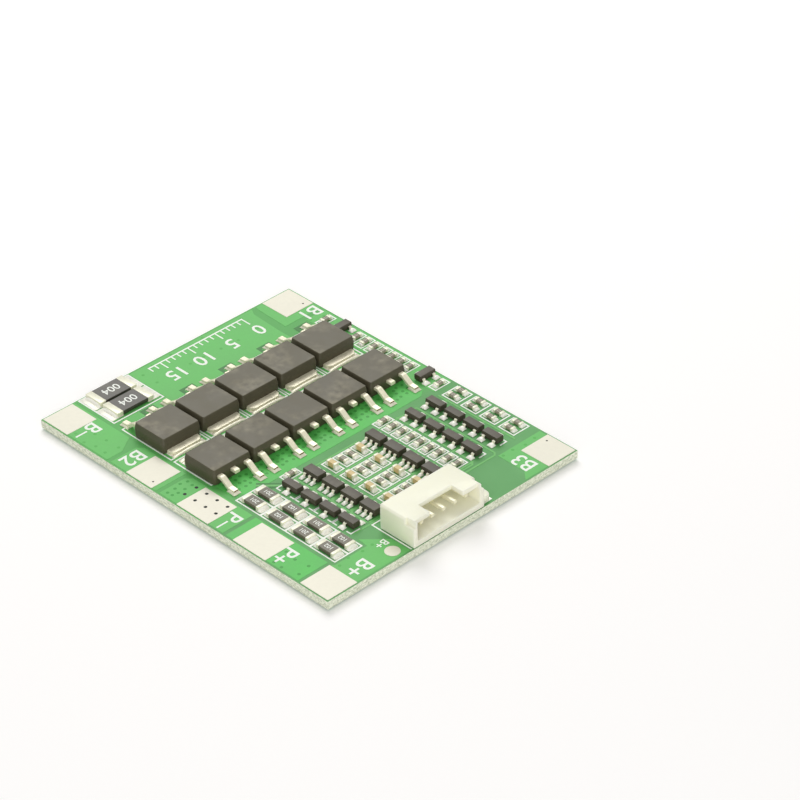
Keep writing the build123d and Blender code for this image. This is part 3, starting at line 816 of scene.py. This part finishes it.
    def frame_lines(self) -> list[Shape]:
        """White boxes and brackets printed round the parts."""
        shapes = [rim(-24.05, -11.85, 7.6, 8.9, self.line, *self.ink)]
        shapes += [bar((-24.1, y), (-24.1, y + 1.0), self.line, *self.ink) for y in (-16.1, -8.6)]
        power = [(-13.5, 10.1), (-4.3, 7.5)]
        boxes = [(x, y, length, 6.82) for y in POWER_ROWS for x, length in power]
        boxes += [(x, y, 4.75, 2.5) for x in (6.45, 11.12, 15.79, 20.46) for y in (-12.8, -15.2)]
        boxes += [(x, y, 1.5, 2.9) for x, y, _, size_x, size_y, _ in solids_of("chip_resistors")
                  if size_y > size_x]
        columns = ((20.5, 3.0, 3.1), (2.65, 2.95, 1.6), (0.95, 2.95, 1.5), (-0.6, 2.95, 1.5),
                   (-2.5, 2.95, 1.6))
        hooks = [[(1.15, y + 0.85), (1.72, y + 0.85), (1.72, y - 0.35)] for y in (16.5, 12.6)]
        hooks += [[(1.7, -9.3), (1.7, -10.9), (0.9, -10.9)],
                  [(-0.9, -10.9), (-1.7, -10.9), (-1.7, -9.9)]]
        shapes += [rim(*frame_box, self.line, *self.ink) for frame_box in boxes]
        for x in LOGIC_COLUMNS:
            shapes += [rim(x, y, length, width, self.line, *self.ink)
                       for y, length, width in columns]
            shapes += [track(hook, self.line, *self.ink).moved(x) for hook in hooks]
        corner = [(20.5, 5.25), (20.5, -7.7), (27.7, -7.7)]
        return shapes + [track(corner, self.line, *self.ink)]

    def marks(self) -> list[Shape]:
        """Plain marks of the pads, and a millimetre scale with its numbers."""
        letter, bold = self.letter, 0.012
        texts = [("B1", letter, -21.2, 20.35, -90), ("B2", letter, -12.4, -19.6, -90),
                 ("B", letter, -21.5, -18.85, -90), ("P", letter, 6.75, -18.95, -90),
                 ("P+", letter, 17.3, -19.9, -90), ("B+", letter, 25.85, -15.0, -90),
                 ("B3", letter, 24.9, 15.5, 180), ("B+", 1.2, 24.25, -9.6, -90)]
        shapes = [lettering(*text, *self.ink, bold) for text in texts]
        shapes += [box(x - 0.13, x + 0.13, y - 0.95, y + 0.95, *self.ink)
                   for x, y in ((-21.5, -20.9), (6.75, -21.05))]
        scale_x, first, length, scale_line = -26.9, 12.5, 17, 0.24
        shapes.append(bar((scale_x, first), (scale_x, first - length), scale_line, *self.ink))
        for step in range(length + 1):
            y, reach = first - step, 0.9 if step % 5 else 1.7
            tick = bar((scale_x + scale_line, y), (scale_x + reach, y), self.line, *self.ink)
            shapes.append(tick)
        return shapes + [lettering(str(number), letter, -23.2, first - number, -90, *self.ink, bold)
                         for number in range(0, length, 5)]

    def print_white(self) -> None:
        """White print as two pieces, neighbours a hair apart in height where they cross."""
        hair, cycle = 0.0012, 5
        groups = {"printed_boxes": self.frame_lines(), "printed_marks": self.marks()}
        for name, shapes in groups.items():
            stepped = [shape.moved(z=hair * (i % cycle)) for i, shape in enumerate(shapes)]
            make_piece(name, joined(stepped), PRINT)


@dataclass
class Pads:
    """Tinned pads and lands, and the solder that has run along the lands."""

    levels: Levels

    def dress(self) -> None:
        """Finish the pads and lands of the model."""
        for node, finish in (("terminal_pads", TINNED_PAD), ("solder_lands", SOLDER)):
            paint(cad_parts[node].data, finish.material())

    def wide_fields(self) -> None:
        """Wide tinned fields under both ends of the sense and balance resistors."""
        low, top = self.levels.up(0.0, self.levels.field)
        side = [(0.0, low), (0.0, top - 0.03)]
        sense = moulded(3.35, 2.1, radius=0.2, steps=side + [(0.05, top)])
        balance = moulded(1.0, 1.7, radius=0.15, steps=side + [(0.04, top)], corner=1)
        fields = [sense.moved(x, y) for y in (-15.05, -8.65) for x in (-26.05, -22.5)]
        fields += [balance.moved(x + shift, y) for x, y, _ in middles(BALANCE_RESISTORS)
                   for shift in (-1.62, 1.62)]
        make_piece("wide_solder_fields", joined(fields), FIELD)


@dataclass
class PowerStage:
    """Ten power transistors: moulded bodies, tabs, leads and the solder that holds them."""

    corner: float = 0.42
    tab_width: float = 5.3
    tab_thickness: float = 0.5
    tab_corner: float = 0.6
    tab_cover: float = 0.4
    lead_width: float = 0.84
    lead_thickness: float = 0.5
    lead_edge: float = 0.07
    lead_root: float = 0.05
    lead_spread: float = 2.286
    exit_height: float = 1.25
    shoulder: float = 0.6
    foot_length: float = 1.05

    def body(self, length: float, width: float, height: float) -> Shape:
        """Moulded body: a foot that widens to the parting line, then a tapered, rounded top."""
        parting = self.exit_height + self.lead_thickness / 2
        steps = [(0.10, 0.02), (0.04, 0.5), (0.0, parting - 0.03), (0.02, parting + 0.02),
                 (0.15, height - 0.16), (0.165, height - 0.09), (0.20, height - 0.035),
                 (0.25, height - 0.008), (0.31, height)]
        return moulded(length, width, self.corner, steps, corner=4)

    def tab(self, reach: float, face: float) -> Shape:
        """Tab plate: its far corners cut, its top edges broken, its near end under the body."""
        half, cut = self.tab_width / 2, self.tab_corner
        back, front = -face - reach, -face + self.tab_cover

        def plan(inset: float) -> np.ndarray:
            """Outline of the plate, drawn in by an inset."""
            slant = cut + inset * 0.6
            return np.array([(front, -half + inset), (front, half - inset),
                             (back + slant, half - inset), (back + inset, half - slant),
                             (back + inset, -half + slant), (back + slant, -half + inset)])

        levels = [0.0, self.tab_thickness - 0.1, self.tab_thickness - 0.02, self.tab_thickness]
        return lofted([plan(0.0), plan(0.0), plan(0.05), plan(0.12)], levels)

    def leads(self, face: float, end: float) -> Shape:
        """Two bent leads and the cropped middle one, ahead of the body's face."""
        half, root, level = self.lead_thickness / 2, face - self.lead_root, self.exit_height
        size = (self.lead_width, self.lead_thickness, self.lead_edge)
        corners = [(root, level), (face + self.shoulder, level),
                   (end - self.foot_length, half + 0.06), (end, half)]
        lead = strip_along(bent_path(corners, radius=0.5, steps=5), *size)
        stub_path = np.array([(root, level), (face + 0.45, level), (face + 0.9, level)])
        sides = [lead.moved(0, side * self.lead_spread) for side in (-1, 1)]
        return joined(sides + [strip_along(stub_path, *size)])

    def solder(self, face: float, reach: float, end: float) -> Shape:
        """Solder along the tab's end and round both feet."""
        seam = mound(0.75, self.tab_width + 0.35, 0.26, power=2.4, cells=8)
        toe = mound(self.foot_length + 0.5, self.lead_width + 0.4, 0.42, power=2.2, cells=8,
                    lean=-0.35)
        foot_middle = end - self.foot_length / 2 + 0.12
        toes = [toe.moved(foot_middle, side * self.lead_spread) for side in (-1, 1)]
        return joined([seam.moved(-face - reach - 0.08)] + toes)

    def build(self) -> None:
        """Dress all ten, each in the place of its solids."""
        solder, cuts = [], []
        for number, nodes in enumerate(zip(POWER_BODIES, POWER_LEADS), 1):
            (low, high), (lead_low, lead_high) = map(box_of, nodes)
            length, width, height = high - low
            x, y, _ = (low + high) / 2
            back, front = sorted((x - lead_low[0], lead_high[0] - x))
            place = (x, y, low[2], 0.0 if lead_low[0] + lead_high[0] > 2 * x else math.pi)
            face = length / 2
            reach = back - face
            body = self.body(length, width, height).moved(*place)
            make_piece(f"power_body_{number:02d}", body, EPOXY, nodes[:1], smooth=36.0)
            metal = joined([self.tab(reach, face), self.leads(face, front)]).moved(*place)
            make_piece(f"power_leads_{number:02d}", metal, LEAD, nodes[1:])
            solder.append(self.solder(face, reach, front).moved(*place))
            half = self.lead_width / 2 - 0.08
            cut = box(front - 0.01, front + 0.012, -half, half, 0.09, self.lead_thickness - 0.06)
            cuts += [cut.moved(0, side * self.lead_spread).moved(*place) for side in (-1, 1)]
        make_piece("power_solder", joined(solder), FOOT_SOLDER)
        make_piece("cut_lead_ends", joined(cuts), COPPER_CUT)


@dataclass
class ChipPart:
    """Chip part with a plated cap on each end, lying along X about the origin."""

    length: float
    width: float
    height: float
    cap: float
    skin: float = 0.03
    edge: float = 0.05

    @property
    def top(self) -> float:
        """Height of the bar between the caps, which stand a skin higher."""
        return self.height - self.skin

    @property
    def printed(self) -> tuple[float, float]:
        """Where print on the bar starts, a little inside it, and where it ends."""
        return self.top - 0.01, self.top + 0.008

    def body(self) -> Shape:
        """Ceramic bar, a skin lower than its caps."""
        steps = [(0.02, self.skin), (0.0, 0.1), (0.0, self.top - self.edge),
                 (self.edge * 0.8, self.top)]
        return moulded(self.length - 2 * self.skin, self.width - 0.02, 0.05, steps, corner=1)

    def caps(self) -> Shape:
        """Plated caps with soft edges."""
        steps = [(0.03, 0.0), (0.0, 0.04), (0.0, self.height - self.edge),
                 (self.edge * 0.4, self.height - self.edge * 0.3), (self.edge, self.height)]
        cap = moulded(self.cap, self.width, 0.06, steps, corner=2)
        shift = (self.length - self.cap) / 2
        return joined([cap.moved(-shift), cap.moved(shift)])

    def solder(self) -> Shape:
        """Fillets that rise against both end faces."""
        rise = min(self.height * 0.75, 0.42)
        fillet = mound(0.46, self.width + 0.12, rise, power=2.2, cells=6, lean=-0.35)
        shift = self.length / 2 + 0.06
        return joined([fillet.moved(shift), fillet.moved(-shift, turn=math.pi)])


@dataclass
class ChipRow:
    """Like chip parts of one kind, wherever the model has them."""

    name: str
    part: ChipPart
    finish: Finish
    slot: Slot
    bodies: tuple[str, ...]
    ends: tuple[str, ...]
    level: float

    def __post_init__(self) -> None:
        """Find the spots and turns of all the parts, from the model's bodies."""
        solids = np.concatenate([solids_of(node) for node in self.bodies])
        self.spots = solids[:, :2]
        self.turns = np.where(solids[:, 4] > solids[:, 3], np.pi / 2, 0.0)

    def everywhere(self, shape: Shape) -> Shape:
        """A shape of one part at all of them."""
        return shape.copies(self.spots, self.level, self.turns)

    def build(self) -> None:
        """Make the bodies, the caps and the solder."""
        part = self.part
        make_piece(f"{self.name}_bodies", self.everywhere(part.body()), self.finish,
                   self.bodies)
        make_piece(f"{self.name}_caps", self.everywhere(part.caps()), CAP_METAL,
                   self.ends)
        make_piece(f"{self.name}_solder", self.everywhere(part.solder()), SOLDER)

    def codes(self, texts: Sequence[str], height: float, turn: float, bold: float) -> None:
        """Print a plain number on each part, in turn from a short list."""
        levels = [self.level + level for level in self.part.printed]
        shapes = [lettering(texts[i % len(texts)], height, x, y, turn, *levels, bold)
                  for i, (x, y) in enumerate(self.spots)]
        make_piece(f"{self.name}_codes", joined(shapes), PRINT)

    def glaze_lines(self, line: float, dash: float) -> None:
        """Dark line round the glaze of each part, with a short dash across it."""
        part = self.part
        length, width = part.length - 2 * part.cap, part.width - 0.12
        marks = [rim(0, 0, length, width, line, *part.printed),
                 box(-dash / 2, dash / 2, -line / 2, line / 2, *part.printed)]
        make_piece(f"{self.name}_lines", self.everywhere(joined(marks)), GLAZE_LINE)


@dataclass
class SmallPackage:
    """Small moulded package with gull-wing leads on two sides, its leads along Y."""

    length: float
    width: float
    height: float
    lead_width: float
    front: tuple[float, ...]
    rear: tuple[float, ...]
    reach: float = 0.6
    foot: float = 0.34
    thickness: float = 0.15
    exit_share: float = 0.4
    flare: float = 0.2

    def body(self) -> Shape:
        """Package: a draft below the leads, a draft above them, and a rounded top edge."""
        exit_height = self.exit_share * self.height + self.thickness
        steps = [(0.06, 0.1), (0.0, exit_height), (0.06, self.height - 0.05),
                 (0.085, self.height - 0.015), (0.13, self.height)]
        return moulded(self.length, self.width, 0.07, steps, corner=1)

    def lead(self) -> Shape:
        """One lead, leaving the package along +X from its middle line."""
        half = self.thickness / 2
        exit_middle = self.exit_share * self.height + half
        start = self.width / 2
        end = start + self.reach
        heel = end - self.foot
        corners = [(start - 0.04, exit_middle), (heel - 0.12, exit_middle), (heel, half),
                   (end, half)]
        path = bent_path(corners, radius=0.1, steps=3)
        return strip_along(path, self.lead_width, self.thickness, edge=0.02)

    def toe(self) -> Shape:
        """Solder round one foot."""
        end = self.width / 2 + self.reach
        drop = mound(self.foot + 0.5, self.lead_width + self.flare, 0.36, power=1.5, cells=8,
                     lean=-0.3)
        return drop.moved(end - self.foot / 2 + 0.12)

    def around(self, shape: Shape) -> Shape:
        """A lead or its solder at every lead of the package."""
        sides = ((self.front, -math.pi / 2), (self.rear, math.pi / 2))
        return joined([shape.moved(turn=turn).moved(x) for places, turn in sides for x in places])


def build_packages(name: str, package: SmallPackage, bodies: tuple[str, ...], leads: str,
                   level: float, turn: float = 0.0) -> None:
    """Make the bodies, the leads and the solder of like small packages, where the model has them.

    Args:
        name: first part of the pieces' names.
        package: what stands at each place.
        bodies: nodes of the model's bodies.
        leads: node of the model's leads.
        level: height of the lands that they stand on.
        turn: angle of all of them in radians.
    """
    spots = np.concatenate([solids_of(node) for node in bodies])[:, :2]
    turns = np.full(len(spots), turn)
    metal, toes = package.around(package.lead()), package.around(package.toe())
    make_piece(f"{name}_bodies", package.body().copies(spots, level, turns), CHIP_EPOXY,
               bodies, smooth=28.0)
    make_piece(f"{name}_leads", metal.copies(spots, level, turns), CAP_METAL, (leads,))
    make_piece(f"{name}_solder", toes.copies(spots, level, turns), SOLDER)


def soften(node: str, name: str, finish: Finish, width: float) -> None:
    """Copy a solid, merge its loose triangles, round its edges and let it stand for the solid.

    Args:
        node: the solid that is copied.
        name: name of the new piece.
        finish: its finish.
        width: how wide the rounding is, in millimetres.
    """
    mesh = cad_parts[node].data.copy()
    mesh.name = name
    build = bmesh.new()
    build.from_mesh(mesh)
    bmesh.ops.remove_doubles(build, verts=build.verts, dist=1e-6)
    bmesh.ops.dissolve_limit(build, angle_limit=math.radians(1.0), verts=build.verts,
                             edges=build.edges)
    build.to_mesh(mesh)
    build.free()
    paint(mesh, finish.material())
    piece = add_object(name, mesh)
    bevel = piece.modifiers.new("soft_edges", "BEVEL")
    bevel.width = width / METRE
    bevel.segments = 3
    bevel.limit_method = "ANGLE"
    bevel.angle_limit = math.radians(30.0)
    mesh.shade_smooth()
    take_place(piece, (node,))
    LOG.info("%s: softened from %s", name, node)


def seen_share(tree: NodeTree) -> NodeSocket:
    """One for rays that look straight at a surface, in a reflection or through a clear part."""
    path = add_node(tree, "ShaderNodeLightPath").outputs
    direct = math_node(tree, "MAXIMUM", path["Is Camera Ray"], path["Is Glossy Ray"])
    return math_node(tree, "MAXIMUM", direct, path["Is Transmission Ray"])


@dataclass
class Studio:
    """Camera, lamps, world and floor. The camera's place and the floor's drop are millimetres."""

    camera_place: Place = (272.885, -241.420, 259.727)
    azimuth: float = 46.547
    elevation: float = 34.814
    roll: float = -1.269
    lens: float = 151.70
    sensor: float = 36.0
    world_light: float = 0.38
    floor_size: float = 3.0
    floor_drop: float = 0.3
    floor_lift: float = 0.145

    def camera(self) -> None:
        """Camera at the photograph's place and angle."""
        data = bpy.data.cameras.new("camera")
        data.lens = self.lens
        data.sensor_width = self.sensor
        data.clip_start, data.clip_end = 0.01, 20.0
        az, el, roll = map(math.radians, (self.azimuth, self.elevation, self.roll))
        ahead = np.array([-math.sin(az) * math.cos(el), math.cos(az) * math.cos(el), -math.sin(el)])
        right = np.cross(ahead, (0, 0, 1))
        right /= np.linalg.norm(right)
        up = np.cross(right, ahead)
        turned_right = right * math.cos(roll) + up * math.sin(roll)
        turned_up = up * math.cos(roll) - right * math.sin(roll)
        axes = Matrix(np.column_stack([turned_right, turned_up, -ahead]).tolist())
        camera = add_object("camera", data)
        camera.matrix_world = Matrix.Translation(Vector(self.camera_place) / METRE) @ axes.to_4x4()
        bpy.context.scene.camera = camera

    def lamp(self, name: str, place: Place, size: float, power: float) -> None:
        """Square soft lamp that faces the board, its place and size in metres."""
        data = bpy.data.lights.new(name, "AREA")
        data.size = size
        data.energy = power
        lamp = add_object(name, data)
        lamp.location = place
        lamp.rotation_mode = "QUATERNION"
        lamp.rotation_quaternion = (-Vector(place)).to_track_quat("-Z", "Y")

    def world(self) -> None:
        """Even world light, seen as plain white by the camera and in reflections."""
        world = bpy.data.worlds.new("studio")
        world.use_nodes = True
        tree = world.node_tree
        light = self.world_light
        level = math_node(tree, "MULTIPLY_ADD", seen_share(tree), 1.0 - light, light)
        feed(tree, tree.nodes["Background"], {"Color": (1.0, 1.0, 1.0, 1.0), "Strength": level})
        bpy.context.scene.world = world

    def floor(self) -> None:
        """Pale floor that keeps the shadow and otherwise looks white."""
        material, tree, shader = fresh_material("pale_floor")
        feed(tree, shader, {
            "Base Color": (0.96, 0.935, 0.945, 1.0), "Roughness": 0.9, "Specular IOR Level": 0.1,
            # The glow is tinted green-yellow so the shadow takes a painted green tint, as of light
            # through the board; the base colour leans the other way so the lit floor stays white.
            "Emission Color": (0.95, 1.0, 0.84, 1.0),
            "Emission Strength": math_node(tree, "MULTIPLY", seen_share(tree), self.floor_lift)})
        half = self.floor_size / 2
        mesh = bpy.data.meshes.new("floor")
        mesh.from_pydata([(-half, -half, 0), (half, -half, 0), (half, half, 0), (-half, half, 0)],
                         [], [(0, 1, 2, 3)])
        paint(mesh, material)
        floor = add_object("floor", mesh)
        floor.location.z = -self.floor_drop / METRE

    def build(self) -> None:
        """Set up the whole studio."""
        self.camera()
        self.lamp("key", (-0.25, 0.18, 0.40), size=0.30, power=1.35)
        self.lamp("fill", (0.36, -0.30, 0.22), size=0.5, power=1.25)
        self.world()
        self.floor()
        bpy.context.scene.view_settings.view_transform = "Standard"


def build_chip_parts(seat: float) -> None:
    """Build the four kinds of chip part on lands of one height."""
    shunts = ChipRow("shunt", ChipPart(6.4, 3.15, 0.6, cap=1.05), RESISTOR, Slot.DARK,
                     numbered("shunt_resistor_{}", 2), ("shunt_terminals",), seat)
    shunts.build()
    shunts.codes(("004",), height=1.3, turn=-90, bold=0.012)
    balance = ChipRow("balance", ChipPart(3.2, 1.6, 0.55, cap=0.5), BALANCE_GLAZE, Slot.DARK,
                      BALANCE_RESISTORS, ("balance_resistor_terminals",), seat)
    balance.build()
    balance.codes(("201", "102"), height=0.66, turn=180, bold=0.008)
    resistors = ChipRow("small_resistor", ChipPart(1.6, 0.8, 0.45, cap=0.42), SMALL_RESISTOR,
                        Slot.DARK, ("chip_resistors",), ("chip_resistor_ends",), seat)
    resistors.build()
    resistors.glaze_lines(line=0.08, dash=0.3)
    ChipRow("capacitor", ChipPart(1.6, 0.8, 0.8, cap=0.36), CAPACITOR, Slot.TAN,
            ("chip_capacitors",), ("chip_capacitor_ends",), seat).build()


def main() -> None:
    """Build the studio, then every sub-assembly in order."""
    logging.basicConfig(level=logging.INFO, format="%(message)s")
    Studio().build()
    _, high = box_of("circuit_board")
    levels = Levels(top=float(high[2]))
    seat, = levels.up(levels.land)
    board = Board(levels, float(high[0]), float(high[1]))
    board.dress()
    board.traces()
    board.vias()
    board.print_white()
    pads = Pads(levels)
    pads.dress()
    pads.wide_fields()
    PowerStage().build()
    build_chip_parts(seat)
    pitch = 0.95
    triple = (-pitch, 0.0, pitch)
    monitor = SmallPackage(2.9, 1.6, 1.1, lead_width=0.4, front=triple, rear=triple)
    build_packages("monitor", monitor, MONITOR_CHIPS, "monitor_chip_leads", seat)
    small = SmallPackage(2.9, 1.3, 1.0, lead_width=0.45, front=(-pitch, pitch), rear=(0.0,),
                         flare=0.55)
    for name, turn in (("upper", 0.0), ("lower", math.pi), ("edge", math.pi / 2)):
        build_packages(f"small_{name}", small, (f"small_transistors_{name}",),
                       f"small_transistor_leads_{name}", seat, turn)
    soften("connector_housing", "header_housing", NYLON, width=0.22)
    soften("connector_pins", "header_pins", PIN, width=0.05)
    soften("connector_anchor", "header_anchor", NYLON, width=0.2)


if __name__ == "__main__":
    main()
